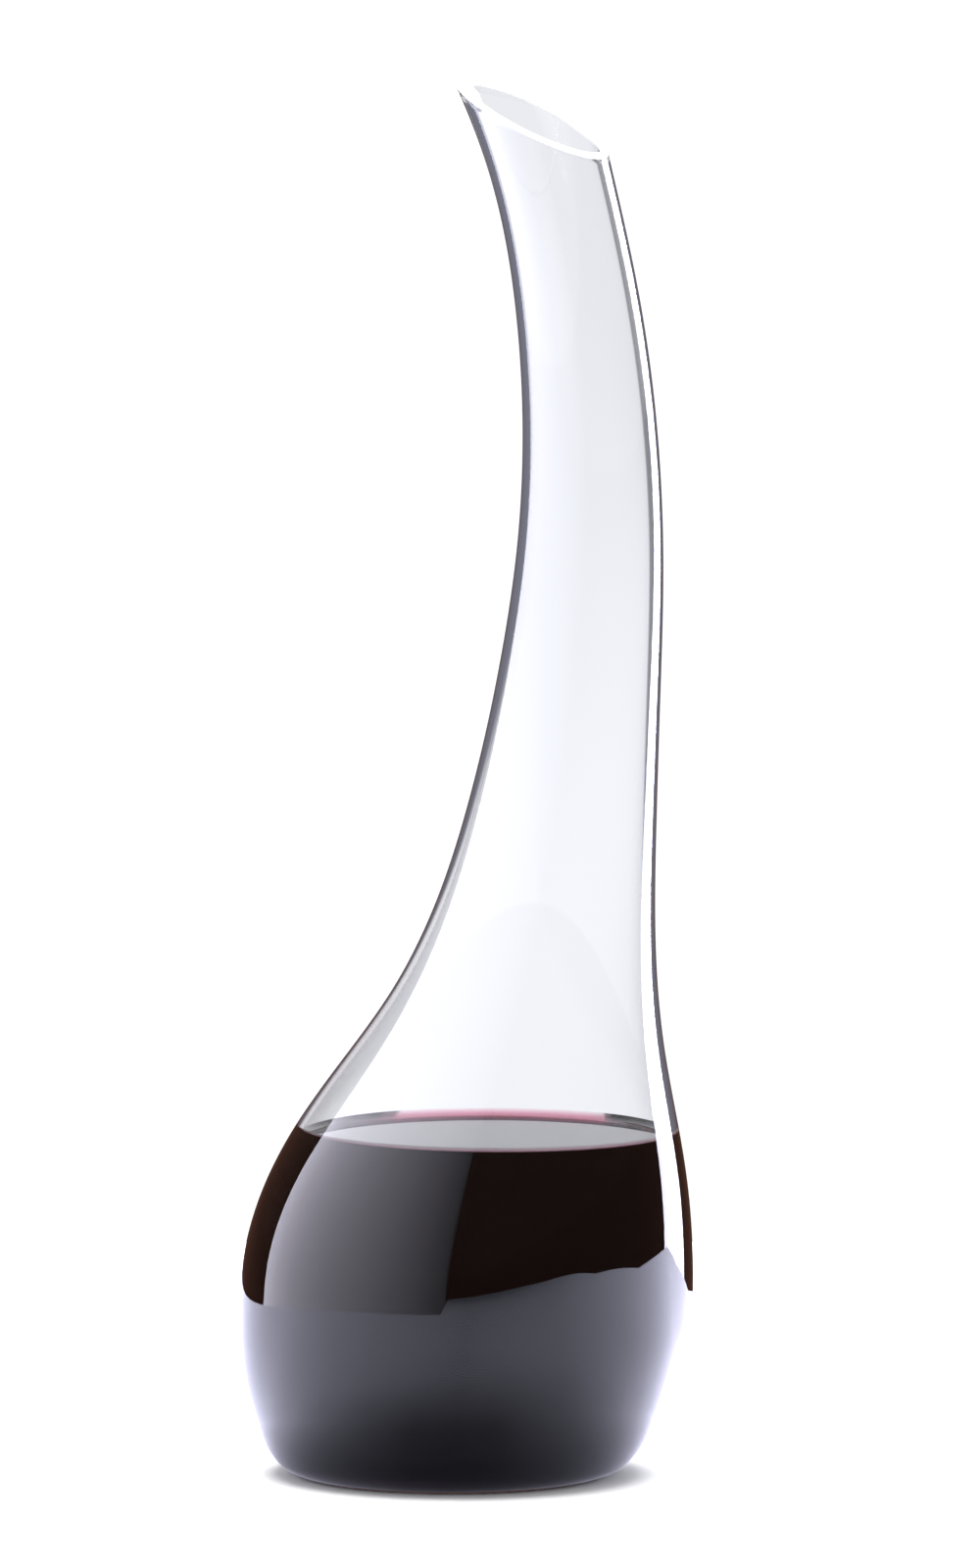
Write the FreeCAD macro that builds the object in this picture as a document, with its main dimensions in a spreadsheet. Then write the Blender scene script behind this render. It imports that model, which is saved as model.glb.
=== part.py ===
"""Wine decanter: one blown glass vessel with a bent neck and a slanted mouth, and the wine in it.

Millimetres and degrees. The origin is the centre of the flat foot and +Z is up. The spine of the
vessel lies in the XZ plane: it leans towards +X up the bowl, straightens through the shoulder and
bends back along the neck, so the tip of the mouth is on the -X side. Every cross-section square
to the spine is a circle.
"""

import FreeCAD
import Part
import Sketcher
import os

SIZES = (
    ("FootRadius", 38, "flat foot on the table"),
    ("BellyRadius", 58.5, "widest cross-section of the bowl"),
    ("BellyRise", 50, "foot to widest section, along the spine"),
    ("BowlRise", 67, "first arc of the spine: length"),
    ("BowlLean", 16.5, "lean towards +X at the end of the bowl's arc"),
    ("BodyRise", 163, "second arc of the spine, shoulder and lower neck: length"),
    ("BodyLean", 6, "lean at the end of the shoulder's arc"),
    ("NeckRise", 154, "third arc of the spine, bending back: length"),
    ("NeckLean", -25, "lean at the end of the neck's arc"),
    ("ShoulderRadius", 56.2, "outside radius where the bowl's arc ends"),
    ("BodyRadius1", 47.4, "outside radii at six equal steps along the second arc"),
    ("BodyRadius2", 36.2, ""),
    ("BodyRadius3", 28.7, ""),
    ("BodyRadius4", 24.5, ""),
    ("BodyRadius5", 21.7, ""),
    ("BodyRadius6", 19.7, ""),
    ("NeckRadius1", 17.6, "outside radii at four equal steps along the third arc"),
    ("NeckRadius2", 16, ""),
    ("NeckRadius3", 15.4, ""),
    ("NeckRadius4", 18, "flare, past the mouth before it is cut"),
    ("WallThickness", 2, "glass wall, square to the spine"),
    ("LipThickness", 2.4, "glass wall at the flare"),
    ("BaseThickness", 4, "glass under the wine"),
    ("FloorInset", 2, "foot radius less the flat of the cavity's floor"),
    ("MouthSetback", 26, "end of the neck's arc back to the mouth, along the spine"),
    ("MouthSlope", 25.5, "mouth's plane, tipped down towards +X"),
    ("LipRound", 0.9, "fire-polished edges of the lip"),
    ("FillLevel", 89, "table to the surface of the wine"),
)

BOWL, BODY, NECK = range(3)
ARCS = (
    ("Sizes.BowlRise", "0", "Sizes.BowlLean"),
    ("Sizes.BodyRise", "Sizes.BowlLean", "Sizes.BodyLean"),
    ("Sizes.NeckRise", "Sizes.BodyLean", "Sizes.NeckLean"),
)
BODY_STEPS = 6
NECK_STEPS = 4
HEEL_STEPS = 6
HEEL_STEP_DEGREES = 90 / HEEL_STEPS

WALL = "Sizes.WallThickness"
LIP_WALL = "Sizes.LipThickness"
CUT_REACH = "(2 * Sizes.BellyRadius + Sizes.BowlRise + Sizes.BodyRise + Sizes.NeckRise)"


def make_sheet(document):
    """Put the driving dimensions in a spreadsheet, one alias to a row."""
    sheet = document.addObject("Spreadsheet::Sheet", "Sizes")
    for row, (alias, value, meaning) in enumerate(SIZES, start=1):
        sheet.set(f"A{row}", meaning)
        sheet.set(f"B{row}", str(value))
        sheet.setAlias(f"B{row}", alias)
    document.recompute()


def along_arc(arc, rise):
    """Return expressions for the run in x and in z of one arc up to a rise, and the lean there."""
    length, start, end = ARCS[arc]
    turn = f"({end} - {start})"
    lean = f"({start} + {turn} * ({rise}) / {length})"
    bend_radius = f"({length} * 180 / (pi * {turn}))"
    run_x = f"{bend_radius} * (cos({start}) - cos({lean}))"
    run_z = f"{bend_radius} * (sin({lean}) - sin({start}))"
    return run_x, run_z, lean


def spine_place(arc, rise):
    """Return expressions for x, z and lean at a rise along one arc of the spine."""
    run_x, run_z, lean = along_arc(arc, rise)
    x, z = [run_x], [run_z]
    for earlier in range(arc):
        full_x, full_z, _ = along_arc(earlier, ARCS[earlier][0])
        x.append(full_x)
        z.append(full_z)
    return " + ".join(x), " + ".join(z), lean


def heel_stations(floor, floor_radius, belly_radius):
    """Quarter-ellipse heel: from the flat of the foot or floor out and up to the belly."""
    stations = []
    for step in range(HEEL_STEPS + 1):
        angle = HEEL_STEP_DEGREES * step
        rise = f"{floor} + (Sizes.BellyRise - {floor}) * (1 - cos({angle}))"
        radius = f"{floor_radius} + ({belly_radius} - {floor_radius}) * sin({angle})"
        stations.append((BOWL, rise, radius))
    return stations


def upper_stations(wall, lip_wall):
    """Shoulder, body and neck: the outside radii, less a wall."""
    stations = [(BOWL, "Sizes.BowlRise", f"Sizes.ShoulderRadius - {wall}")]
    for step in range(1, BODY_STEPS + 1):
        rise = f"Sizes.BodyRise * {step} / {BODY_STEPS}"
        stations.append((BODY, rise, f"Sizes.BodyRadius{step} - {wall}"))
    for step in range(1, NECK_STEPS + 1):
        rise = f"Sizes.NeckRise * {step} / {NECK_STEPS}"
        taken = lip_wall if step == NECK_STEPS else wall
        stations.append((NECK, rise, f"Sizes.NeckRadius{step} - {taken}"))
    return stations


def outside_stations():
    """Cross-sections of the outside of the glass, from the foot to past the mouth."""
    return heel_stations("0", "Sizes.FootRadius", "Sizes.BellyRadius") + upper_stations("0", "0")


def cavity_stations():
    """Cross-sections of the inside of the glass, which the wine fills up to its level."""
    floor_radius = "(Sizes.FootRadius - Sizes.FloorInset)"
    belly_radius = f"(Sizes.BellyRadius - {WALL})"
    return heel_stations("Sizes.BaseThickness", floor_radius, belly_radius) + upper_stations(WALL, LIP_WALL)


def origin_plane(body, role):
    """Find one of a body's own origin planes by its role."""
    return next(feature for feature in body.Origin.OriginFeatures if feature.Role == role)


def circle_sketch(body, name, place, radius):
    """Draw a circle centred at a place (x, z, lean) of the XZ plane, square to its lean."""
    x, z, lean = place
    sketch = body.newObject("Sketcher::SketchObject", name)
    sketch.AttachmentSupport = [(origin_plane(body, "XY_Plane"), "")]
    sketch.MapMode = "FlatFace"
    sketch.AttachmentOffset = FreeCAD.Placement(FreeCAD.Vector(), FreeCAD.Rotation(FreeCAD.Vector(0, 1, 0), 1))
    sketch.setExpression("AttachmentOffset.Base.x", x)
    sketch.setExpression("AttachmentOffset.Base.z", z)
    sketch.setExpression("AttachmentOffset.Rotation.Angle", lean)
    circle = sketch.addGeometry(Part.Circle(FreeCAD.Vector(), FreeCAD.Vector(0, 0, 1), 10), False)
    sketch.addConstraint(Sketcher.Constraint("Coincident", circle, 3, -1, 1))
    size = sketch.addConstraint(Sketcher.Constraint("Radius", circle, 10))
    sketch.setExpression(f"Constraints[{size}]", radius)
    return sketch


def loft(body, kind, name, stations):
    """Loft a smooth form through circles set square to the spine."""
    sketches = []
    for number, (arc, rise, radius) in enumerate(stations):
        sketches.append(circle_sketch(body, f"{name}_section_{number}", spine_place(arc, rise), radius))
    feature = body.newObject(kind, name)
    feature.Profile = (sketches[0], [""])
    feature.Sections = [(sketch, [""]) for sketch in sketches[1:]]
    feature.Ruled = False
    feature.Closed = False
    return feature


def cut_above(body, name, place):
    """Cut away everything above a plane through a place (x, z, lean) of the XZ plane."""
    sketch = circle_sketch(body, f"{name}_plane", place, CUT_REACH)
    pocket = body.newObject("PartDesign::Pocket", name)
    pocket.Profile = sketch
    pocket.Type = "Length"
    pocket.setExpression("Length", CUT_REACH)
    pocket.Reversed = True
    return pocket


def mouth_place():
    """Where the mouth's sloping plane crosses the spine."""
    x, z, _ = spine_place(NECK, "Sizes.NeckRise - Sizes.MouthSetback")
    return x, z, "Sizes.MouthSlope"


def lip_edges(shape, cut_sketch):
    """Name the inner and outer edges of the lip: those that lie in the mouth's plane."""
    centre = cut_sketch.Placement.Base
    normal = cut_sketch.Placement.Rotation.multVec(FreeCAD.Vector(0, 0, 1))
    names = []
    for number, edge in enumerate(shape.Edges, start=1):
        points = edge.discretize(12)
        if all(abs((point - centre).dot(normal)) < 1e-3 for point in points):
            names.append(f"Edge{number}")
    return names


def make_glass_vessel(document):
    """The blown vessel: foot, bowl, shoulder, neck and lip in one wall."""
    body = document.addObject("PartDesign::Body", "glass_vessel")
    body.Label = "glass_vessel"
    loft(body, "PartDesign::AdditiveLoft", "outside", outside_stations())
    loft(body, "PartDesign::SubtractiveLoft", "cavity", cavity_stations())
    mouth = cut_above(body, "mouth", mouth_place())
    document.recompute()
    lip = body.newObject("PartDesign::Fillet", "fire_polish")
    lip.Base = (mouth, lip_edges(mouth.Shape, mouth.Profile[0]))
    lip.setExpression("Radius", "Sizes.LipRound")
    body.Tip = lip
    return body


def make_red_wine(document):
    """The wine: the cavity's own form, filled to a level surface."""
    body = document.addObject("PartDesign::Body", "red_wine")
    body.Label = "red_wine"
    loft(body, "PartDesign::AdditiveLoft", "pool", cavity_stations())
    cut_above(body, "surface", ("0", "Sizes.FillLevel", "0"))
    return body


def check(document, bodies):
    """Stop if any object failed to build, or a body isn't one valid solid."""
    for item in document.Objects:
        if "Invalid" in item.State or "Error" in item.State:
            raise RuntimeError(f"{item.Label} did not build: {item.State}")
    for body in bodies:
        if body.Shape.isNull() or not body.Shape.isValid() or len(body.Shape.Solids) != 1:
            raise RuntimeError(f"{body.Label} is not one valid solid")


def main():
    """Build the document, check it and write one STEP file for each body."""
    document = FreeCAD.newDocument("wine_decanter")
    make_sheet(document)
    bodies = [make_glass_vessel(document), make_red_wine(document)]
    document.recompute()
    check(document, bodies)
    os.makedirs("parts", exist_ok=True)
    for body in bodies:
        body.Shape.exportStep(f"parts/{body.Label}.step")
        box = body.Shape.BoundBox
        print(f"{body.Label}: {body.Shape.Volume / 1000:.1f} ml, "
              f"x {box.XMin:.1f} to {box.XMax:.1f}, y {box.YMin:.1f} to {box.YMax:.1f}, "
              f"z {box.ZMin:.1f} to {box.ZMax:.1f}")


main()
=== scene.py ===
"""Wine decanter: a blown glass vessel with a bent neck and a slanted lip, half full of red wine."""

import enum
import logging
import math
from dataclasses import dataclass, field
from typing import Callable

import bpy
import numpy as np
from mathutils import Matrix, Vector


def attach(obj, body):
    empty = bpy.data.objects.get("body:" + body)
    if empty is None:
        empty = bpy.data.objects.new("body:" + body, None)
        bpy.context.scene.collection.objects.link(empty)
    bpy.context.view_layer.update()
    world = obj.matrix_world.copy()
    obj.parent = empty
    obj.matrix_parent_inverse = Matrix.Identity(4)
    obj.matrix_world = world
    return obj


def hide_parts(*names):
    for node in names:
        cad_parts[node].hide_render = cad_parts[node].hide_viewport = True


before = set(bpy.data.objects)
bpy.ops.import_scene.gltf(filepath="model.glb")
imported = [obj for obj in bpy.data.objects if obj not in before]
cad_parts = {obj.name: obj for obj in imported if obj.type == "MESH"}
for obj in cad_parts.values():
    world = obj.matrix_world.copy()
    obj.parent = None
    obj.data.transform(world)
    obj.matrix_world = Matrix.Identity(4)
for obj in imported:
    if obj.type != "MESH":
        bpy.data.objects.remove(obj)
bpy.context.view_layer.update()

log = logging.getLogger("decanter")
MM = 0.001
FREE_SURFACE = "free_surface"
GLOW = "glow"
WETTED = "wetted"
LIP = "lip"
GLASS_IOR = 1.52
WINE_IOR = 1.345
EASE_SAMPLES = 15
HALVINGS = 40
PROFILE_POINTS = 6000
CARD_GRID = (25, 9)
DISC_GRID = (81, 181)
WHOLE_TURN = (-180, 180)
NOT_YET = 0.5


class Slot(enum.Enum):
    """The material slots of the glass and the wine."""

    GLASS = "clear_glass"
    WINE = "red_wine"


# ---------------------------------------------------------------- curves and meshes


def smooth_through(points: np.ndarray, count: int) -> np.ndarray:
    """Run a natural cubic spline through points, spaced by their chords.

    Args:
        points: The points to pass through, one to a row.
        count: How many points to return.

    Returns:
        That many points along the spline.
    """
    chords = np.linalg.norm(np.diff(points, axis=0), axis=1)
    knots = np.concatenate([[0.0], np.cumsum(chords)])
    size = len(points)
    matrix = np.eye(size)
    right = np.zeros_like(points)
    for i in range(1, size - 1):
        before, after = chords[i - 1], chords[i]
        matrix[i, i - 1:i + 2] = before, 2 * (before + after), after
        right[i] = 6 * ((points[i + 1] - points[i]) / after - (points[i] - points[i - 1]) / before)
    bends = np.linalg.solve(matrix, right)
    at = np.linspace(0.0, knots[-1], count)
    span = np.clip(np.searchsorted(knots, at, side="right") - 1, 0, size - 2)
    width = chords[span][:, None]
    low = (at - knots[span])[:, None]
    high = (knots[span + 1] - at)[:, None]
    cubic = (bends[span] * high ** 3 + bends[span + 1] * low ** 3) / (6 * width)
    start = (points[span] / width - bends[span] * width / 6) * high
    end = (points[span + 1] / width - bends[span + 1] * width / 6) * low
    return cubic + start + end


def evenly_spaced(points: np.ndarray, step: float) -> np.ndarray:
    """Pick points of a dense curve about one step apart, the two ends included.

    Args:
        points: The dense curve, one point to a row.
        step: The distance wanted between points.

    Returns:
        The points picked.
    """
    lengths = np.linalg.norm(np.diff(points, axis=0), axis=1)
    travelled = np.concatenate([[0.0], np.cumsum(lengths)])
    count = max(2, int(math.ceil(travelled[-1] / step)) + 1)
    at = np.linspace(0.0, travelled[-1], count)
    return np.stack([np.interp(at, travelled, column) for column in points.T], axis=-1)


def rows_between(low: np.ndarray, high: np.ndarray, step: float) -> np.ndarray:
    """Fill the wall between two rings with rows about one step apart.

    Args:
        low: The rises of the lower ring, which is left out.
        high: The rises of the upper ring, which is the last row.
        step: The distance wanted between rows.

    Returns:
        Rises, as rows by points round.
    """
    count = int(np.ceil((high - low).mean() / step))
    shares = (np.arange(1, count + 1) / count)[:, None]
    return low + shares * (high - low)


def closed_skin(
    name: str, rows: np.ndarray, first_pole: np.ndarray, last_pole: np.ndarray
) -> bpy.types.Mesh:
    """Make a closed mesh of rings between two poles, its faces outwards.

    Args:
        name: The mesh's name.
        rows: The rings' points, as rows by points round by 3, in metres.
        first_pole: The point that closes the first ring.
        last_pole: The point that closes the last ring.

    Returns:
        The mesh, smooth shaded.
    """
    count, around, _ = rows.shape
    points = np.concatenate([rows.reshape(-1, 3), first_pole[None], last_pole[None]])
    here = np.arange(around)
    ahead = (here + 1) % around
    faces = []
    for row in range(count - 1):
        low, high = row * around, (row + 1) * around
        faces.extend(np.stack([low + here, low + ahead, high + ahead, high + here], axis=-1).tolist())
    top = (count - 1) * around
    faces.extend(np.stack([ahead, here, np.full(around, count * around)], axis=-1).tolist())
    last = np.full(around, count * around + 1)
    faces.extend(np.stack([top + here, top + ahead, last], axis=-1).tolist())
    mesh = bpy.data.meshes.new(name)
    mesh.from_pydata(points.tolist(), [], faces)
    mesh.polygons.foreach_set("use_smooth", [True] * len(mesh.polygons))
    mesh.update()
    return mesh


def new_object(name: str, mesh: bpy.types.Mesh) -> bpy.types.Object:
    """Put a mesh in the scene as an object at the origin.

    Args:
        name: The object's name.
        mesh: Its mesh.

    Returns:
        The object.
    """
    piece = bpy.data.objects.new(name, mesh)
    bpy.context.scene.collection.objects.link(piece)
    return piece


@dataclass(frozen=True)
class NodeSums:
    """Adds nodes that work out numbers and colours to a node tree."""

    tree: bpy.types.NodeTree

    def feed(self, socket: bpy.types.NodeSocket, value: object) -> None:
        """Link a value to a socket, or set it there if it is a constant.

        Args:
            socket: The input to feed.
            value: Another node's output, or a constant.
        """
        if isinstance(value, bpy.types.NodeSocket):
            self.tree.links.new(value, socket)
        else:
            socket.default_value = value

    def calc(self, operation: str, *values: object) -> bpy.types.NodeSocket:
        """Add one maths node.

        Args:
            operation: Blender's name for what it does.
            values: Its inputs, sockets or numbers.

        Returns:
            Its result's socket.
        """
        node = self.tree.nodes.new("ShaderNodeMath")
        node.operation = operation
        for socket, value in zip(node.inputs, values):
            self.feed(socket, value)
        return node.outputs[0]

    def ramp(
        self, value: object, span: tuple[float, float], levels: tuple[float, float]
    ) -> bpy.types.NodeSocket:
        """Run smoothly from one level to another as a value goes across a span.

        Args:
            value: The value that is looked up.
            span: Where the change begins and ends.
            levels: The result before and after it.

        Returns:
            The result's socket.
        """
        node = self.tree.nodes.new("ShaderNodeMapRange")
        node.interpolation_type = "SMOOTHSTEP"
        for socket, level in zip(node.inputs, (value, *span, *levels)):
            self.feed(socket, level)
        return node.outputs["Result"]

    def blend(self, share: object, first: object, second: object) -> bpy.types.NodeSocket:
        """Mix two colours.

        Args:
            share: How much of the second colour there is, from 0 to 1.
            first: The colour at 0.
            second: The colour at 1.

        Returns:
            The mixed colour's socket.
        """
        node = self.tree.nodes.new("ShaderNodeMix")
        node.data_type = "RGBA"
        colours = [socket for socket in node.inputs if socket.type == "RGBA"]
        for socket, value in zip((node.inputs["Factor"], *colours), (share, first, second)):
            self.feed(socket, value)
        return next(socket for socket in node.outputs if socket.type == "RGBA")

    def scale(self, colour: tuple[float, ...], factor: object) -> bpy.types.NodeSocket:
        """Make a colour brighter or darker.

        Args:
            colour: The colour, its alpha unused.
            factor: What its red, green and blue are multiplied by.

        Returns:
            The new colour's socket.
        """
        node = self.tree.nodes.new("ShaderNodeVectorMath")
        node.operation = "SCALE"
        self.feed(node.inputs[0], colour[:3])
        self.feed(node.inputs["Scale"], factor)
        return node.outputs[0]


# ---------------------------------------------------------------- the vessel's own rule


@dataclass(frozen=True)
class Arc:
    """One arc of the spine: its length and its lean, in degrees, at each end."""

    length: float
    lean_in: float
    lean_out: float


@dataclass(frozen=True)
class Spine:
    """The line that the vessel's round sections are set square to, in the XZ plane.

    Its arcs are the bowl's, the body's and the neck's.
    """

    arcs: tuple[Arc, ...] = (
        Arc(67 * MM, 0.0, 16.5),
        Arc(163 * MM, 16.5, 6.0),
        Arc(154 * MM, 6.0, -25.0),
    )
    ease: float = 14 * MM
    step: float = 0.5 * MM

    @property
    def length(self) -> float:
        """Add up the arcs.

        Returns:
            The whole spine's length.
        """
        return sum(arc.length for arc in self.arcs)

    def lean(self, rise: np.ndarray) -> np.ndarray:
        """Find the lean along the spine, eased where one arc runs into the next.

        Args:
            rise: Distances along the spine, in metres.

        Returns:
            The lean in radians at each distance.
        """
        ends = np.concatenate([[0.0], np.cumsum([arc.length for arc in self.arcs])])
        leans = np.radians([self.arcs[0].lean_in, *(arc.lean_out for arc in self.arcs)])
        reach = np.clip(np.minimum(rise, self.length - rise), 0.0, self.ease)
        shares = np.linspace(-1, 1, EASE_SAMPLES)
        return np.mean([np.interp(rise + share * reach, ends, leans) for share in shares], axis=0)

    def line(self) -> np.ndarray:
        """Draw the spine from the foot up.

        Returns:
            Its points (rise, x, z), one step apart.
        """
        rise = np.linspace(0.0, self.length, int(round(self.length / self.step)) + 1)
        lean = self.lean((rise[1:] + rise[:-1]) / 2)
        runs = np.stack([np.sin(lean), np.cos(lean)], axis=-1) * (rise[1] - rise[0])
        places = np.concatenate([np.zeros((1, 2)), np.cumsum(runs, axis=0)])
        return np.concatenate([rise[:, None], places], axis=1)

    def place(self, rise: np.ndarray) -> tuple[np.ndarray, np.ndarray, np.ndarray]:
        """Find where the spine is at a rise along it.

        Args:
            rise: Distances along the spine, in metres.

        Returns:
            x, z and the lean in radians at each distance.
        """
        line = self.line()
        x, z = (np.interp(rise, line[:, 0], line[:, axis]) for axis in (1, 2))
        return x, z + np.minimum(rise, 0.0), self.lean(rise)

    def bend(self, radius: np.ndarray, angle: np.ndarray, rise: np.ndarray) -> np.ndarray:
        """Carry points of a straight, upright form onto the spine.

        Args:
            radius: Distances from the axis.
            angle: Angles round it, in radians, from +X towards +Y.
            rise: Heights along it.

        Returns:
            The points where they are in the vessel, in metres.
        """
        x, z, lean = self.place(rise)
        across = radius * np.cos(angle)
        y = radius * np.sin(angle)
        return np.stack([x + across * np.cos(lean), y, z - across * np.sin(lean)], axis=-1)

    @staticmethod
    def rise_at(
        height_of: Callable[[np.ndarray], np.ndarray], count: int, low: float, high: float
    ) -> np.ndarray:
        """Find the rise at which a height that grows with it is zero, by halving.

        Args:
            height_of: Gives the height for an array of rises.
            count: How many rises to find at once.
            low: A rise under all of them.
            high: A rise over all of them.

        Returns:
            The rises.
        """
        below, above = np.full(count, low), np.full(count, high)
        for _ in range(HALVINGS):
            middle = (below + above) / 2
            under = height_of(middle) < 0
            below = np.where(under, middle, below)
            above = np.where(under, above, middle)
        return (below + above) / 2


@dataclass(frozen=True)
class Skin:
    """One skin of the wall: radii along the spine, from the flat at its foot to past the lip."""

    floor: float
    floor_radius: float
    belly_radius: float
    thinner_by: float
    lip_thinner_by: float
    belly_rise: float = 50 * MM
    shoulder: tuple[float, float] = (67 * MM, 56.2 * MM)
    body_radii: tuple[float, ...] = (
        47.4 * MM, 36.2 * MM, 28.7 * MM, 24.5 * MM, 21.7 * MM, 19.7 * MM)
    neck_radii: tuple[float, ...] = (17.6 * MM, 16.0 * MM, 15.4 * MM, 18.0 * MM)
    heel_steps: int = 6

    def profile(self, spine: Spine) -> np.ndarray:
        """Draw the skin's outline as it would be on a straight spine.

        Args:
            spine: The spine, for the lengths of its arcs.

        Returns:
            A dense curve of (rise, radius) from the floor's edge to past the lip.
        """
        stations = []
        for step in range(self.heel_steps + 1):
            turn = math.pi / 2 * step / self.heel_steps
            rise = self.floor + (self.belly_rise - self.floor) * (1 - math.cos(turn))
            radius = self.floor_radius + (self.belly_radius - self.floor_radius) * math.sin(turn)
            stations.append((rise, radius))
        stations.append((self.shoulder[0], self.shoulder[1] - self.thinner_by))
        start = self.shoulder[0]
        for arc, radii in zip(spine.arcs[1:], (self.body_radii, self.neck_radii)):
            for step, radius in enumerate(radii, start=1):
                stations.append((start + arc.length * step / len(radii), radius - self.thinner_by))
            start += arc.length
        stations[-1] = (stations[-1][0], self.neck_radii[-1] - self.lip_thinner_by)
        return smooth_through(np.array(stations), PROFILE_POINTS)

    def halves(self, spine: Spine, step: float) -> tuple[np.ndarray, np.ndarray]:
        """Part the outline at the widest ring.

        Args:
            spine: The spine, for the lengths of its arcs.
            step: The distance wanted between the heel's rings.

        Returns:
            (rise, radius) of the heel's rings up to the widest, and the dense curve from there up.
        """
        profile = self.profile(spine)
        upper = profile[np.argmax(profile[:, 1]):]
        return evenly_spaced(profile[profile[:, 0] <= upper[0, 0]], step), upper


OUTSIDE = Skin(
    floor=0.0, floor_radius=38 * MM, belly_radius=58.5 * MM, thinner_by=0.0, lip_thinner_by=0.0)
INSIDE = Skin(
    floor=4 * MM, floor_radius=36 * MM, belly_radius=56.5 * MM, thinner_by=2 * MM, lip_thinner_by=2.4 * MM)


@dataclass(frozen=True)
class WineEdge:
    """The wine's level and the meniscus by which its edge climbs the wall."""

    level: float = 89 * MM
    climb: float = 1.7 * MM
    climb_reach: float = 1.1 * MM

    def rises(self, spine: Spine, upper: np.ndarray, angles: np.ndarray) -> np.ndarray:
        """Find where the top of the meniscus meets the cavity's wall.

        Args:
            spine: The spine.
            upper: The cavity's (rise, radius) from its widest ring up.
            angles: The angles round the axis.

        Returns:
            The rise at each angle.
        """

        def over_edge(rise: np.ndarray) -> np.ndarray:
            """Measure the wall against the meniscus.

            Args:
                rise: A rise for each angle.

            Returns:
                How far the wall there is over the top of the meniscus.
            """
            radius = np.interp(rise, upper[:, 0], upper[:, 1])
            return spine.bend(radius, angles, rise)[:, 2] - self.level - self.climb

        return spine.rise_at(over_edge, len(angles), upper[0, 0], upper[-1, 0])

    def height(self, from_wall: np.ndarray) -> np.ndarray:
        """Find the height of the surface.

        Args:
            from_wall: Distances from the wall.

        Returns:
            The height at each distance.
        """
        return self.level + self.climb * np.exp(-from_wall / self.climb_reach)


# ---------------------------------------------------------------- finishes


@dataclass(frozen=True)
class Finish:
    """What every finish has: a name and a way to start its material."""

    name: str

    def start(self) -> tuple[bpy.types.Material, bpy.types.NodeTree, bpy.types.Node]:
        """Make a material with a Principled shader.

        Returns:
            The material, its tree and the shader.
        """
        material = bpy.data.materials.new(self.name)
        material.use_nodes = True
        tree = material.node_tree
        return material, tree, tree.nodes["Principled BSDF"]

    def ripple(
        self, tree: bpy.types.NodeTree, shader: bpy.types.Node, scale: float, depth: float
    ) -> None:
        """Give the surface a slow waver.

        Args:
            tree: The material's tree.
            shader: The shader whose normal it bends.
            scale: Waves to a metre.
            depth: The waves' depth in metres.
        """
        place = tree.nodes.new("ShaderNodeTexCoord")
        noise = tree.nodes.new("ShaderNodeTexNoise")
        noise.inputs["Scale"].default_value = scale
        noise.inputs["Detail"].default_value = 1.0
        bump = tree.nodes.new("ShaderNodeBump")
        bump.inputs["Strength"].default_value = 1.0
        bump.inputs["Distance"].default_value = depth
        tree.links.new(place.outputs["Object"], noise.inputs["Vector"])
        tree.links.new(noise.outputs["Fac"], bump.inputs["Height"])
        tree.links.new(bump.outputs["Normal"], shader.inputs["Normal"])


@dataclass(frozen=True)
class BlownGlass(Finish):
    """Clear crystal with a little waver from the blowing."""

    name: str = "blown_glass"
    tint: tuple[float, float, float, float] = (0.975, 0.982, 0.99, 1.0)
    ior: float = GLASS_IOR
    clearness: float = 1.0
    waver_scale: float = 14.0
    waver_depth: float = 0.00012

    def make(self) -> bpy.types.Material:
        """Build the material.

        Returns:
            The material.
        """
        material, tree, shader = self.start()
        shader.inputs["Base Color"].default_value = self.tint
        shader.inputs["IOR"].default_value = self.ior
        # Below full clearness the rest is near-white diffuse; on the lip this paints a highlight.
        shader.inputs["Transmission Weight"].default_value = self.clearness
        shader.inputs["Roughness"].default_value = 0.0
        self.ripple(tree, shader, self.waver_scale, self.waver_depth)
        return material


@dataclass(frozen=True)
class RedWine(Finish):
    """Red wine: pink where it is thin, almost black through the bowl."""

    name: str = "red_wine_liquid"
    tint: tuple[float, float, float, float] = (1.0, 0.96, 0.96, 1.0)
    ior: float = WINE_IOR
    absorbed: tuple[float, float, float, float] = (0.69, 0.07, 0.30, 1.0)
    strength: float = 550.0

    def make(self) -> bpy.types.Material:
        """Build the material; where the wine meets the glass, the glass does the bending.

        Returns:
            The material.
        """
        material, tree, shader = self.start()
        shader.inputs["Base Color"].default_value = self.tint
        shader.inputs["IOR"].default_value = 1.0
        shader.inputs["Transmission Weight"].default_value = 1.0
        shader.inputs["Roughness"].default_value = 0.0
        shader.inputs["Coat IOR"].default_value = self.ior
        shader.inputs["Coat Roughness"].default_value = 0.0
        bare = tree.nodes.new("ShaderNodeAttribute")
        bare.attribute_name = FREE_SURFACE
        tree.links.new(bare.outputs["Fac"], shader.inputs["Coat Weight"])
        colour = tree.nodes.new("ShaderNodeVolumeAbsorption")
        colour.inputs["Color"].default_value = self.absorbed
        colour.inputs["Density"].default_value = self.strength
        tree.links.new(colour.outputs["Volume"], tree.nodes["Material Output"].inputs["Volume"])
        return material


# ---------------------------------------------------------------- the pieces


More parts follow.
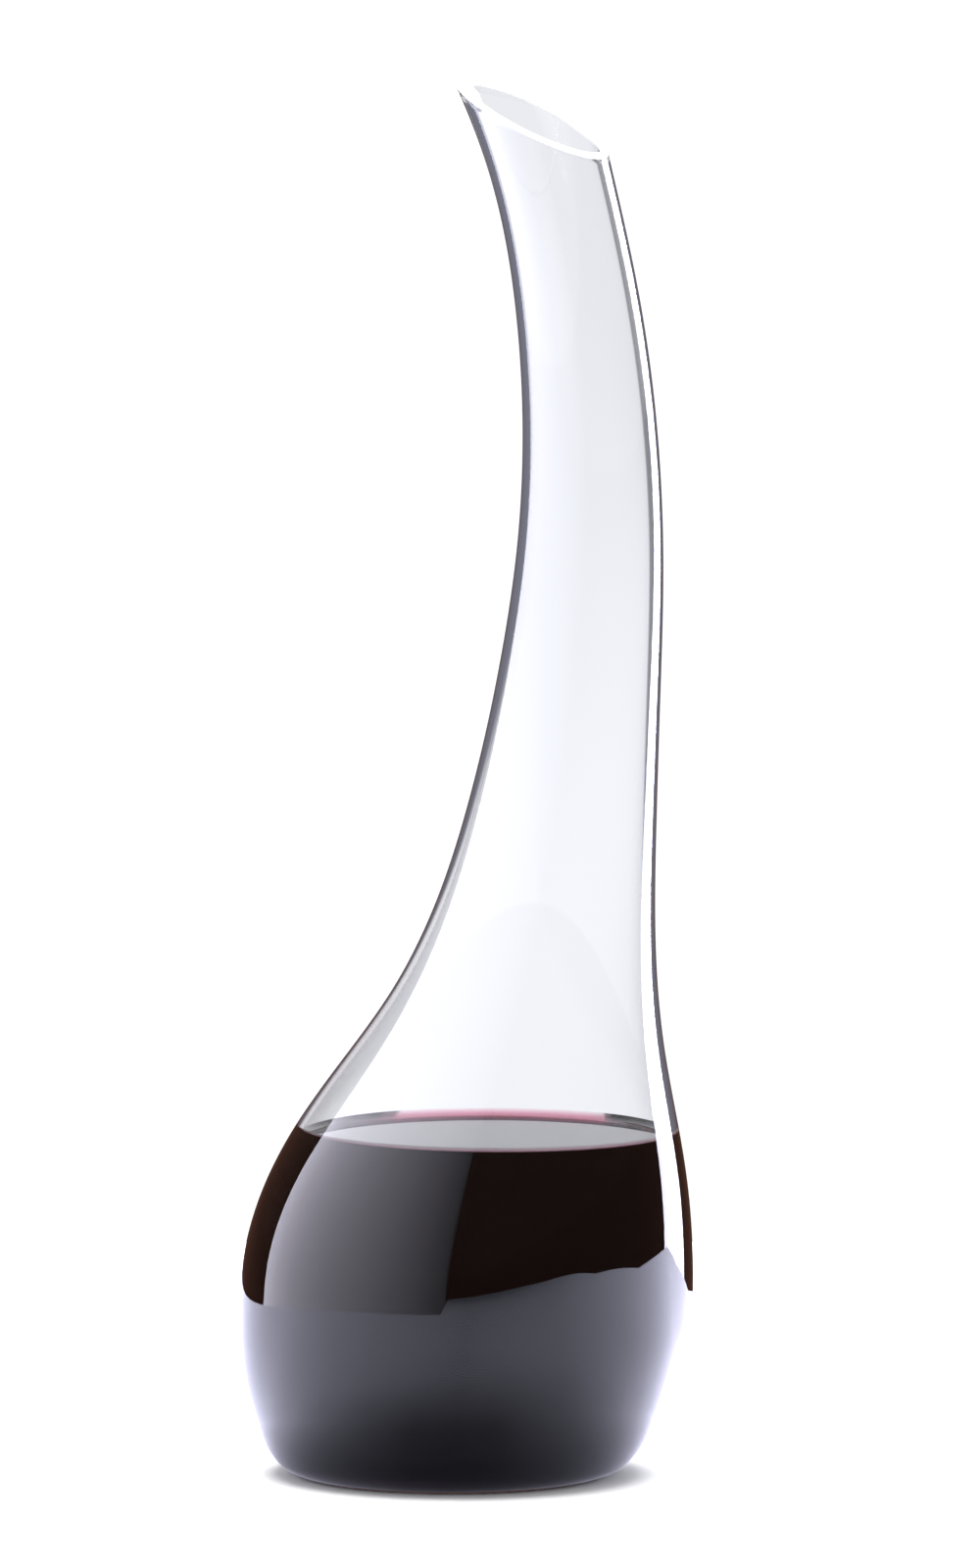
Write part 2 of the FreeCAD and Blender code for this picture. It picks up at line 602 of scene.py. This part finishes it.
@dataclass
class GlassVessel:
    """The blown vessel, one closed wall from the foot over the lip and down to the cavity's floor."""

    spine: Spine = field(default_factory=Spine)
    finish: BlownGlass = field(default_factory=BlownGlass)
    wetted_finish: BlownGlass = BlownGlass(name="wetted_glass", ior=GLASS_IOR / WINE_IOR)
    # The lip's faces are part opaque and nearly white: a painted highlight that whitens the rim.
    lip_highlight_finish: BlownGlass = BlownGlass(name="lip_painted_highlight", clearness=0.35)
    around: int = 128
    row_step: float = 1.8 * MM
    lip_zone: float = 300 * MM
    mouth_setback: float = 26 * MM
    mouth_slope: float = 25.5
    lip_crown: float = 1.1 * MM
    lip_steps: int = 12
    punt: float = 1.2 * MM
    punt_radius: float = 31 * MM
    foot_rings: int = 10
    wine_edge: WineEdge = field(default_factory=WineEdge)

    def mouth_plane(self) -> tuple[np.ndarray, np.ndarray]:
        """Find the mouth's sloping plane.

        Returns:
            A point of it and its normal.
        """
        rise = np.array([self.spine.length - self.mouth_setback])
        x, z, _ = self.spine.place(rise)
        slope = math.radians(self.mouth_slope)
        return np.array([x[0], 0.0, z[0]]), np.array([math.sin(slope), 0.0, math.cos(slope)])

    def skin_rows(self, skin: Skin, angles: np.ndarray) -> tuple[np.ndarray, np.ndarray, int]:
        """Place the rings of one skin, from its floor over the wine's edge up to the slanted lip.

        Args:
            skin: The skin.
            angles: The angles round the axis.

        Returns:
            Radii and rises, each as rows by angles, and the row that runs along the wine's edge.
        """
        heel, upper = skin.halves(self.spine, self.row_step)
        _, cavity_upper = INSIDE.halves(self.spine, self.row_step)
        point, normal = self.mouth_plane()

        def over_mouth(rise: np.ndarray) -> np.ndarray:
            """Measure the wall against the mouth.

            Args:
                rise: A rise for each angle.

            Returns:
                How far the wall there is over the plane where the rounding of the lip begins.
            """
            radius = np.interp(rise, upper[:, 0], upper[:, 1])
            return (self.spine.bend(radius, angles, rise) - point) @ normal + self.lip_crown

        lip = self.spine.rise_at(over_mouth, len(angles), self.lip_zone, upper[-1, 0])
        edge = self.wine_edge.rises(self.spine, cavity_upper, angles)
        bottom, below_lip = (np.full(len(angles), rise) for rise in (heel[-1, 0], self.lip_zone))
        rises, wet_row = [np.repeat(heel[:, :1], len(angles), axis=1)], 0
        for low, high in ((bottom, edge), (edge, below_lip), (below_lip, lip)):
            rises.append(rows_between(low, high, self.row_step))
            wet_row = wet_row or len(heel) + len(rises[-1]) - 1
        upper_radii = np.interp(np.concatenate(rises[1:]), upper[:, 0], upper[:, 1])
        radii = np.concatenate([np.repeat(heel[:, 1:], len(angles), axis=1), upper_radii])
        return radii, np.concatenate(rises), wet_row

    def rim(
        self, outer: np.ndarray, inner: np.ndarray, angles: np.ndarray
    ) -> tuple[np.ndarray, np.ndarray]:
        """Round the lip over from the outer skin's last ring to the inner one's.

        Args:
            outer: Radius and rise of the outer ring, as 2 by angles.
            inner: The same for the inner ring.
            angles: The angles round the axis.

        Returns:
            Radii and rises, each as rows by angles.
        """
        middle, half = (outer + inner) / 2, (outer - inner) / 2
        _, _, lean = self.spine.place(middle[1])
        tilt = math.radians(self.mouth_slope) - lean
        outwards, upwards = np.cos(angles) * np.sin(tilt), np.cos(tilt)
        reach = outwards ** 2 + upwards ** 2
        over = np.linspace(0.0, math.pi, self.lip_steps + 1)[1:-1, None]
        crown = self.lip_crown * np.sin(over)
        radii = middle[0] + half[0] * np.cos(over) + crown * outwards / reach
        rises = middle[1] + half[1] * np.cos(over) + crown * upwards / reach
        return radii, rises

    def straight_form(self) -> bpy.types.Mesh:
        """Make the vessel as it would be on a straight upright spine.

        Returns:
            Its mesh, with the faces that the wine wets and those of the lip marked.
        """
        angles = np.linspace(0.0, 2 * math.pi, self.around, endpoint=False)
        outer_radii, outer_rises, _ = self.skin_rows(OUTSIDE, angles)
        inner_radii, inner_rises, wet_row = self.skin_rows(INSIDE, angles)
        outer_end = np.stack([outer_radii[-1], outer_rises[-1]])
        inner_end = np.stack([inner_radii[-1], inner_rises[-1]])
        rim_radii, rim_rises = self.rim(outer_end, inner_end, angles)
        shares = np.arange(1, self.foot_rings)[:, None] / self.foot_rings
        foot_radii = shares * np.full(self.around, OUTSIDE.floor_radius)
        foot_rises = self.punt * np.clip(1 - (foot_radii / self.punt_radius) ** 2, 0, None) ** 2
        floor_radii = shares[::-1] * np.full(self.around, INSIDE.floor_radius)
        floor_rises = np.full_like(floor_radii, INSIDE.floor)
        radii = np.concatenate([foot_radii, outer_radii, rim_radii, inner_radii[::-1], floor_radii])
        rises = np.concatenate([foot_rises, outer_rises, rim_rises, inner_rises[::-1], floor_rises])
        rows = np.stack([radii * np.cos(angles), radii * np.sin(angles), rises], axis=-1)
        under, floor = (np.array([0, 0, height]) for height in (self.punt, INSIDE.floor))
        mesh = closed_skin("glass_vessel_shell", rows, under, floor)
        first_wet = len(rows) - len(floor_radii) - wet_row - 1
        wet = np.zeros(len(mesh.polygons), dtype=bool)
        wet[first_wet * self.around:(len(rows) - 1) * self.around] = True
        wet[-self.around:] = True
        lip = np.zeros(len(mesh.polygons), dtype=bool)
        first_lip = len(foot_radii) + len(outer_radii) - 1
        lip[first_lip * self.around:(first_lip + len(rim_radii) + 1) * self.around] = True
        for name, faces in ((WETTED, wet), (LIP, lip)):
            mesh.attributes.new(name, "BOOLEAN", "FACE").data.foreach_set("value", faces)
        return mesh

    def spine_curve(self) -> bpy.types.Object:
        """Draw the spine for the node tree to follow.

        Returns:
            The curve's object.
        """
        line = self.spine.line()
        curve = bpy.data.curves.new("spine", "CURVE")
        curve.dimensions = "3D"
        path = curve.splines.new("POLY")
        path.points.add(len(line) - 1)
        level, weight = np.zeros(len(line)), np.ones(len(line))
        places = np.stack([line[:, 1], level, line[:, 2], weight], axis=-1)
        path.points.foreach_set("co", places.ravel())
        guide = bpy.data.objects.new("spine", curve)
        bpy.context.scene.collection.objects.link(guide)
        return guide

    def bending_tree(self) -> bpy.types.NodeTree:
        """Build the node tree that carries a straight form onto a curve in the XZ plane.

        Returns:
            The tree; its inputs are the form, the curve and a finish for each zone.
        """
        tree = bpy.data.node_groups.new("lean_along_spine", "GeometryNodeTree")
        face = tree.interface
        face.new_socket("Geometry", in_out="INPUT", socket_type="NodeSocketGeometry")
        face.new_socket("Geometry", in_out="OUTPUT", socket_type="NodeSocketGeometry")
        face.new_socket("Spine", in_out="INPUT", socket_type="NodeSocketObject")
        for finish in ("Glass", WETTED, LIP):
            face.new_socket(finish, in_out="INPUT", socket_type="NodeSocketMaterial")
        source = tree.nodes.new("NodeGroupInput")
        sink = tree.nodes.new("NodeGroupOutput")
        sums = NodeSums(tree)
        where = tree.nodes.new("ShaderNodeSeparateXYZ")
        tree.links.new(tree.nodes.new("GeometryNodeInputPosition").outputs[0], where.inputs[0])
        across, sideways, rise = where.outputs
        guide = tree.nodes.new("GeometryNodeObjectInfo")
        tree.links.new(source.outputs["Spine"], guide.inputs["Object"])
        follow = tree.nodes.new("GeometryNodeSampleCurve")
        follow.mode = "LENGTH"
        follow.use_all_curves = True
        tree.links.new(guide.outputs["Geometry"], follow.inputs["Curves"])
        tree.links.new(rise, follow.inputs["Length"])
        run, tangent = (tree.nodes.new("ShaderNodeSeparateXYZ") for _ in range(2))
        tree.links.new(follow.outputs["Position"], run.inputs[0])
        tree.links.new(follow.outputs["Tangent"], tangent.inputs[0])
        outwards = sums.calc("MULTIPLY", across, tangent.outputs["Z"])
        downwards = sums.calc("MULTIPLY", across, tangent.outputs["X"])
        join = tree.nodes.new("ShaderNodeCombineXYZ")
        sums.feed(join.inputs["X"], sums.calc("ADD", run.outputs["X"], outwards))
        sums.feed(join.inputs["Y"], sideways)
        sums.feed(join.inputs["Z"], sums.calc("SUBTRACT", run.outputs["Z"], downwards))
        move = tree.nodes.new("GeometryNodeSetPosition")
        tree.links.new(source.outputs["Geometry"], move.inputs["Geometry"])
        tree.links.new(join.outputs[0], move.inputs["Position"])
        whole = tree.nodes.new("GeometryNodeRealizeInstances")
        tree.links.new(move.outputs[0], whole.inputs[0])
        dress = tree.nodes.new("GeometryNodeSetMaterial")
        tree.links.new(whole.outputs[0], dress.inputs["Geometry"])
        tree.links.new(source.outputs["Glass"], dress.inputs["Material"])
        for zone in (WETTED, LIP):
            faces = tree.nodes.new("GeometryNodeInputNamedAttribute")
            faces.data_type = "BOOLEAN"
            faces.inputs["Name"].default_value = zone
            dress_zone = tree.nodes.new("GeometryNodeSetMaterial")
            tree.links.new(dress.outputs[0], dress_zone.inputs["Geometry"])
            tree.links.new(faces.outputs["Attribute"], dress_zone.inputs["Selection"])
            tree.links.new(source.outputs[zone], dress_zone.inputs["Material"])
            dress = dress_zone
        tree.links.new(dress.outputs[0], sink.inputs["Geometry"])
        return tree

    def build(self) -> bpy.types.Object:
        """Make the vessel, leaned along its spine and dressed in glass.

        Returns:
            The vessel's object.
        """
        piece = new_object("glass_vessel_blown", self.straight_form())
        guide = self.spine_curve()
        modifier = piece.modifiers.new("lean", "NODES")
        tree = self.bending_tree()
        modifier.node_group = tree
        values = {
            "Spine": guide,
            "Glass": self.finish.make(),
            WETTED: self.wetted_finish.make(),
            LIP: self.lip_highlight_finish.make(),
        }
        for item in tree.interface.items_tree:
            if item.in_out == "INPUT" and item.name in values:
                modifier[item.identifier] = values[item.name]
        graph = bpy.context.evaluated_depsgraph_get()
        bent = bpy.data.meshes.new_from_object(piece.evaluated_get(graph))
        piece.modifiers.remove(modifier)
        piece.data = bent
        bpy.data.objects.remove(guide)
        return piece


@dataclass
class WinePool:
    """The wine: the cavity's own form up to its level, with a meniscus that climbs the wall."""

    spine: Spine = field(default_factory=Spine)
    finish: RedWine = field(default_factory=RedWine)
    edge: WineEdge = field(default_factory=WineEdge)
    wetting: float = 0.2 * MM
    around: int = 160
    row_step: float = 1.5 * MM
    floor_rings: int = 8
    shore: tuple[float, float] = (0.08 * MM, 12 * MM)
    shore_rings: int = 22
    open_shares: tuple[float, float] = (0.35, 0.9)
    open_rings: int = 6

    def wall_rows(self, angles: np.ndarray) -> np.ndarray:
        """Place the rings that wet the wall, from the cavity's floor to the top of the meniscus.

        Args:
            angles: The angles round the axis.

        Returns:
            The rings' points, as rows by angles by 3.
        """
        heel, upper = INSIDE.halves(self.spine, self.row_step)
        edge = self.edge.rises(self.spine, upper, angles)
        upper_rises = rows_between(np.full(len(angles), upper[0, 0]), edge, self.row_step)
        upper_radii = np.interp(upper_rises, upper[:, 0], upper[:, 1])
        heel_rises, heel_radii = (np.repeat(heel[:, axis, None], len(angles), axis=1) for axis in (0, 1))
        rises = np.concatenate([heel_rises - self.wetting, upper_rises])
        radii = np.concatenate([heel_radii, upper_radii]) + self.wetting
        return self.spine.bend(radii, np.broadcast_to(angles, radii.shape), rises)

    def surface_rows(self, edge: np.ndarray) -> tuple[np.ndarray, np.ndarray]:
        """Place the rings of the free surface, in from the wall.

        Args:
            edge: The ring where the meniscus meets the wall.

        Returns:
            The rings, and the surface's centre.
        """
        centre = edge.mean(axis=0)
        inwards = centre[:2] - edge[:, :2]
        reach = np.linalg.norm(inwards, axis=1)
        near = [np.full(len(edge), step) for step in np.geomspace(*self.shore, self.shore_rings)]
        far = [reach * share for share in np.linspace(*self.open_shares, self.open_rings)]
        rows = []
        for distance in near + far:
            flat = edge[:, :2] + inwards * (distance / reach)[:, None]
            rows.append(np.concatenate([flat, self.edge.height(distance)[:, None]], axis=1))
        return np.array(rows), np.array([centre[0], centre[1], self.edge.level])

    def build(self) -> bpy.types.Object:
        """Make the wine and dress it.

        Returns:
            The wine's object.
        """
        angles = np.linspace(0.0, 2 * math.pi, self.around, endpoint=False)
        wall = self.wall_rows(angles)
        surface, centre = self.surface_rows(wall[-1])
        shares = (np.arange(1, self.floor_rings) / self.floor_rings)[:, None, None]
        floor_centre = np.array([0.0, 0.0, wall[0][:, 2].mean()])
        floor = floor_centre + shares * (wall[0][None] - floor_centre)
        mesh = closed_skin("red_wine_pool", np.concatenate([floor, wall, surface]), floor_centre, centre)
        bare = np.zeros(len(mesh.vertices))
        first_bare = (len(floor) + len(wall)) * self.around
        bare[first_bare:first_bare + len(surface) * self.around] = 1.0
        bare[-1] = 1.0
        mesh.attributes.new(FREE_SURFACE, "FLOAT", "POINT").data.foreach_set("value", bare)
        mesh.materials.append(self.finish.make())
        return new_object("red_wine_pool", mesh)


# ---------------------------------------------------------------- the studio


@dataclass(frozen=True)
class Glow(Finish):
    """A card that shines as strongly as its mesh's glow says."""

    tint: tuple[float, float, float, float] = (0.95, 0.95, 1.2, 1.0)

    def make(self) -> bpy.types.Material:
        """Build the material.

        Returns:
            The material.
        """
        material = bpy.data.materials.new(self.name)
        material.use_nodes = True
        tree = material.node_tree
        tree.nodes.clear()
        strength = tree.nodes.new("ShaderNodeAttribute")
        strength.attribute_name = GLOW
        shine = tree.nodes.new("ShaderNodeEmission")
        shine.inputs["Color"].default_value = self.tint
        out = tree.nodes.new("ShaderNodeOutputMaterial")
        tree.links.new(strength.outputs["Fac"], shine.inputs["Strength"])
        tree.links.new(shine.outputs[0], out.inputs["Surface"])
        return material


@dataclass(frozen=True)
class PaleTable(Finish):
    """A matt, pale table top."""

    name: str = "pale_table"
    tint: tuple[float, float, float, float] = (0.9, 0.9, 0.9, 1.0)
    roughness: float = 0.6

    def make(self) -> bpy.types.Material:
        """Build the material.

        Returns:
            The material.
        """
        material, _, shader = self.start()
        shader.inputs["Base Color"].default_value = self.tint
        shader.inputs["Roughness"].default_value = self.roughness
        return material


@dataclass(frozen=True)
class Card:
    """What every studio card has: a name, a glow, and being there for reflections only."""

    name: str
    finish: Glow

    def hang(self, points: np.ndarray, glow: np.ndarray) -> bpy.types.Object:
        """Make a card from a grid of points and stage it.

        Args:
            points: The grid, as rows by columns by 3, in metres.
            glow: How strongly it shines at each point.

        Returns:
            The card, hidden from all rays but reflections.
        """
        rows, columns, _ = points.shape
        faces = []
        for row in range(rows - 1):
            for column in range(columns - 1):
                corner = row * columns + column
                faces.append((corner, corner + 1, corner + columns + 1, corner + columns))
        mesh = bpy.data.meshes.new(self.name)
        mesh.from_pydata(points.reshape(-1, 3).tolist(), [], faces)
        mesh.attributes.new(GLOW, "FLOAT", "POINT").data.foreach_set("value", glow.ravel())
        mesh.materials.append(self.finish.make())
        card = new_object(self.name, mesh)
        for kind in ("camera", "diffuse", "transmission", "volume_scatter", "shadow"):
            setattr(card, f"visible_{kind}", False)
        return card


@dataclass(frozen=True)
class UprightCard(Card):
    """A softbox or strip light that stands in an arc round the object.

    The swings are degrees to the right of the camera, as seen from the object's place.
    """

    swing_from: float
    swing_to: float
    bottom: float
    top: float
    distance: float
    glow_from: float
    glow_to: float
    glow_rise: float = 0.0
    rises_to: float = 0.6

    def build(self, camera_azimuth: float) -> bpy.types.Object:
        """Make the card; its glow fades from one end to the other and grows with height.

        Args:
            camera_azimuth: Where the camera stands, in degrees.

        Returns:
            The card.
        """
        columns, rows = CARD_GRID
        shares, heights = np.linspace(0, 1, columns), np.linspace(self.bottom, self.top, rows)
        share, height = np.meshgrid(shares, heights, indexing="ij")
        turn = np.radians(camera_azimuth + self.swing_from + (self.swing_to - self.swing_from) * share)
        points = np.stack([self.distance * np.sin(turn), -self.distance * np.cos(turn), height], axis=-1)
        glow = self.glow_from + (self.glow_to - self.glow_from) * share
        return self.hang(points, glow * (1 + self.glow_rise * np.clip(height, 0, self.rises_to)))


@dataclass(frozen=True)
class RoundCard(Card):
    """A level disc of light: a painted reflection of the lit table, its shadow painted in, or a panel
    overhead.

    The tables of glow and reach go by the swing from the camera in degrees, and the tables of
    shade by the distance from the middle in metres.
    """

    height: float
    radius: float
    glow: tuple[tuple[float, float], ...]
    shade_in_front: tuple[tuple[float, float], ...] = ((0.0, 1.0),)
    shade_aside: tuple[tuple[float, float], ...] = ((0.0, 1.0),)
    reach: tuple[tuple[float, float], ...] = ((0.0, 1.0),)
    front_to: float = 15.0
    aside_after: float = 60.0

    def build(self, camera_azimuth: float) -> bpy.types.Object:
        """Make the disc; its painted glow follows the swing, and a painted shadow of the object dims its
        middle.

        Args:
            camera_azimuth: Where the camera stands, in degrees.

        Returns:
            The disc.
        """
        rings, spokes = DISC_GRID
        shares, swings = np.linspace(0.0, 1.0, rings) ** 2, np.linspace(*WHOLE_TURN, spokes)
        share, swing = np.meshgrid(shares, swings, indexing="ij")
        turn = np.radians(swing + camera_azimuth)
        stretch = np.interp(swing, *zip(*self.reach)) - 1
        distance = share * self.radius * (1 + stretch * np.clip(2 * share - 1, 0, 1))
        aside = np.clip((np.abs(swing) - self.front_to) / self.aside_after, 0, 1)
        in_front = np.interp(distance, *zip(*self.shade_in_front))
        beside = np.interp(distance, *zip(*self.shade_aside))
        # Painted light and shadow: the glow by swing, dimmed near the middle by the painted shade of the
        # object.
        glow = np.interp(swing, *zip(*self.glow)) * (in_front + (beside - in_front) * aside)
        level = np.full_like(turn, self.height)
        points = np.stack([distance * np.sin(turn), -distance * np.cos(turn), level], axis=-1)
        return self.hang(points, glow)


@dataclass
class Studio:
    """Pale table, white surround, a large softbox on the left and a strip light behind on the right.

    Flags are bearings and half widths in degrees. A pair of levels goes with the span over which
    the first runs into the second. The spans of near and upwards are of how steeply a ray rises,
    and the span of onwards is of how squarely it goes on away from the camera.
    """

    azimuth: float = 32.0
    distance: float = 3.1
    height: float = 0.4375
    aim_right: float = 10.2 * MM
    aim_height: float = 179.3 * MM
    lens: float = 276.5
    sensor: float = 36.0
    sees_to: float = 50.0
    table_radius: float = 0.5
    table_sides: int = 96
    table_finish: PaleTable = PaleTable()
    lamp_width: float = 1.6
    lamp_height: float = 1.6
    lamp_watts: float = 80.0
    flag_level: float = 0.25
    flag_top: float = 0.5
    flag_edge: float = 1.5
    flags: tuple[tuple[float, float], ...] = (
        (191.5, 6.5), (247.5, 11.0), (292.5, 11.0), (337.5, 11.0),
        (22.5, 11.0), (67.5, 11.0), (112.5, 11.0), (157.5, 11.0))
    near_levels: tuple[float, float] = (1.09, 0.9)
    near_span: tuple[float, float] = (-0.1, -0.03)
    onwards_levels: tuple[float, float] = (0.5, 0.0)
    onwards_span: tuple[float, float] = (0.4, 0.8)
    upwards_span: tuple[float, float] = (0.02, 0.08)
    backdrop: tuple[float, float, float, float] = (1.1, 1.1, 1.1, 1.0)
    dark_room: tuple[float, float, float, float] = (0.11, 0.05, 0.035, 1.0)
    seen_through: tuple[float, float, float, float] = (0.98, 0.985, 1.02, 1.0)
    wall_outline_shade: tuple[float, float, float, float] = (0.19, 0.205, 0.26, 1.0)
    past_the_wall: tuple[float, float, float, float] = (0.98, 0.98, 1.03, 1.0)
    cards: tuple[Card, ...] = (
        UprightCard(
            "softbox_left", Glow("softbox_glow", (0.95, 0.92, 1.08, 1.0)),
            swing_from=-123.0, swing_to=-10.5, bottom=-0.25, top=1.3, distance=1.1,
            glow_from=4.2, glow_to=0.33, glow_rise=0.45),
        UprightCard(
            "strip_right", Glow("strip_glow"),
            swing_from=118.0, swing_to=143.0, bottom=-0.4, top=1.6, distance=1.2,
            glow_from=10.0, glow_to=10.0),
        # Painted reflection of the table: a glowing disc seen only in reflections, brighter to the sides,
        # with the object's shadow painted round the foot.
        RoundCard(
            "lit_table", Glow("table_glow"), 0.0005, 0.5,
            glow=((-180, 2.4), (-134, 2.8), (-97, 3.3), (-64, 2.5), (-35, 1.8), (0, 1.25),
                  (43, 1.75), (78, 2.9), (98, 3.8), (119, 5.0), (143, 3.5), (180, 2.4)),
            shade_in_front=((0.045, 0.1), (0.072, 0.22), (0.115, 0.88), (0.16, 1.0), (0.5, 0.9), (1.5, 0.4)),
            shade_aside=((0.045, 0.18), (0.075, 0.92), (0.1, 1.0), (0.5, 1.0), (1.5, 0.8)),
            reach=((-12, 1.0), (-9, 5.0), (12, 5.0), (34, 3.0), (64, 1.5), (92, 1.12),
                   (118, 1.3), (128, 1.0), (145, 0.75))),
        RoundCard("panel_overhead", Glow("panel_glow"), 1.3, 0.3, glow=((0, 7.0),)),
    )

    def build_table(self) -> bpy.types.Object:
        """Make a pale round table top, hidden from reflections and from light through the glass.

        Returns:
            The table top.
        """
        turn = np.linspace(0.0, 2 * math.pi, self.table_sides, endpoint=False)
        ring = [(self.table_radius * math.cos(a), self.table_radius * math.sin(a), 0.0) for a in turn]
        mesh = bpy.data.meshes.new("table_top")
        mesh.from_pydata(ring, [], [tuple(range(len(ring)))])
        table = new_object("table_top", mesh)
        mesh.materials.append(self.table_finish.make())
        table.visible_glossy = False
        table.visible_transmission = False
        return table

    @staticmethod
    def facing(sums: NodeSums, x: object, y: object, azimuth: float) -> bpy.types.NodeSocket:
        """Work out how squarely a direction faces a bearing.

        Args:
            sums: The sums of the surround's tree.
            x: The direction's x.
            y: The direction's y.
            azimuth: The bearing, in degrees.

        Returns:
            The cosine of the angle between them, seen from above.
        """
        turn = math.radians(azimuth)
        towards = sums.calc(
            "ADD", sums.calc("MULTIPLY", x, math.sin(turn)), sums.calc("MULTIPLY", y, -math.cos(turn)))
        squares = sums.calc("ADD", sums.calc("MULTIPLY", x, x), sums.calc("MULTIPLY", y, y))
        return sums.calc("DIVIDE", towards, sums.calc("SQRT", squares))

    def build_surround(self) -> None:
        """Set what each kind of ray meets where it leaves the scene.

        The camera and diffuse light meet plain white. A ray that went through the glass meets a
        pale surround with darker flags, which draw the edges. One mirrored inside the glass meets
        painted shade that darkens the wall's outline, paler where it turns aside or rises, and one
        mirrored off its outside a dark room, which the cards light.
        """
        world = bpy.data.worlds.new("surround")
        bpy.context.scene.world = world
        world.use_nodes = True
        tree = world.node_tree
        shine = tree.nodes["Background"]
        place = tree.nodes.new("ShaderNodeTexCoord")
        split = tree.nodes.new("ShaderNodeSeparateXYZ")
        tree.links.new(place.outputs["Generated"], split.inputs[0])
        x, y, z = split.outputs
        sums = NodeSums(tree)
        below_top = sums.calc("LESS_THAN", z, self.flag_top)
        bright: object = 1.0
        for azimuth, half_width in self.flags:
            edge = tuple(math.cos(math.radians(half_width + side * self.flag_edge)) for side in (1, -1))
            inside = sums.ramp(self.facing(sums, x, y, azimuth), edge, (0.0, 1.0))
            flag = sums.calc("MULTIPLY", sums.calc("MULTIPLY", inside, below_top), 1 - self.flag_level)
            bright = sums.calc("MULTIPLY", bright, sums.calc("SUBTRACT", 1.0, flag))
        level = sums.calc("MULTIPLY", bright, sums.ramp(z, self.near_span, self.near_levels))
        onwards = self.facing(sums, x, y, self.azimuth + 180.0)
        sideways = sums.ramp(onwards, self.onwards_span, self.onwards_levels)
        upwards = sums.ramp(z, self.upwards_span, (0.0, 1.0))
        clear = sums.calc("MAXIMUM", sideways, upwards)
        path = tree.nodes.new("ShaderNodeLightPath")
        mirrored = sums.calc("GREATER_THAN", path.outputs["Glossy Depth"], NOT_YET)
        outside = sums.calc("LESS_THAN", path.outputs["Transmission Depth"], NOT_YET)
        # Painted shade for rays mirrored inside the glass: blue-grey where they go on level, paler where
        # they turn aside or rise; it darkens the wall's outline.
        within = sums.blend(clear, self.wall_outline_shade, self.past_the_wall)
        reflected = sums.blend(outside, within, self.dark_room)
        seen = sums.blend(mirrored, sums.scale(self.seen_through, level), reflected)
        plain = sums.calc("MAXIMUM", path.outputs["Is Camera Ray"], path.outputs["Is Diffuse Ray"])
        sums.feed(shine.inputs["Color"], sums.blend(plain, seen, self.backdrop))

    def build_camera(self) -> bpy.types.Object:
        """Set the camera at the angle from which the object is seen.

        Returns:
            The camera.
        """
        turn = math.radians(self.azimuth)
        right = Vector((math.cos(turn), math.sin(turn), 0.0))
        back = Vector((math.sin(turn), -math.cos(turn), 0.0))
        target = right * self.aim_right + Vector((0.0, 0.0, self.aim_height))
        eye = right * self.aim_right + back * self.distance + Vector((0.0, 0.0, self.height))
        data = bpy.data.cameras.new("camera")
        data.lens = self.lens
        data.sensor_width = self.sensor
        data.clip_end = self.sees_to
        camera = bpy.data.objects.new("camera", data)
        bpy.context.scene.collection.objects.link(camera)
        camera.location = eye
        camera.rotation_mode = "QUATERNION"
        camera.rotation_quaternion = (target - eye).to_track_quat("-Z", "Y")
        bpy.context.scene.camera = camera
        return camera

    def build_lamp(self) -> bpy.types.Object:
        """Hang a round lamp over the table, which reflections don't see.

        Returns:
            The lamp.
        """
        light = bpy.data.lights.new("overhead", "AREA")
        light.shape = "DISK"
        light.size = self.lamp_width
        light.energy = self.lamp_watts
        lamp = bpy.data.objects.new("overhead", light)
        lamp.location = (0.0, 0.0, self.lamp_height)
        lamp.visible_glossy = False
        lamp.visible_transmission = False
        bpy.context.scene.collection.objects.link(lamp)
        return lamp

    def build(self) -> None:
        """Make the camera, table, surround, cards and lamp."""
        self.build_camera()
        self.build_table()
        self.build_surround()
        for card in self.cards:
            card.build(self.azimuth)
        self.build_lamp()
        bpy.context.scene.view_settings.view_transform = "Standard"


def main() -> None:
    """Build the studio, the vessel and the wine, and report each piece."""
    logging.basicConfig(level=logging.INFO, format="%(message)s")
    Studio().build()
    pieces = (
        (GlassVessel().build(), "glass_vessel", Slot.GLASS),
        (WinePool().build(), "red_wine", Slot.WINE),
    )
    for piece, node, slot in pieces:
        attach(piece, "root")
        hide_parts(node)
        log.info("%s stands for %s: %d faces", piece.name, node, len(piece.data.polygons))


if __name__ == "__main__":
    main()
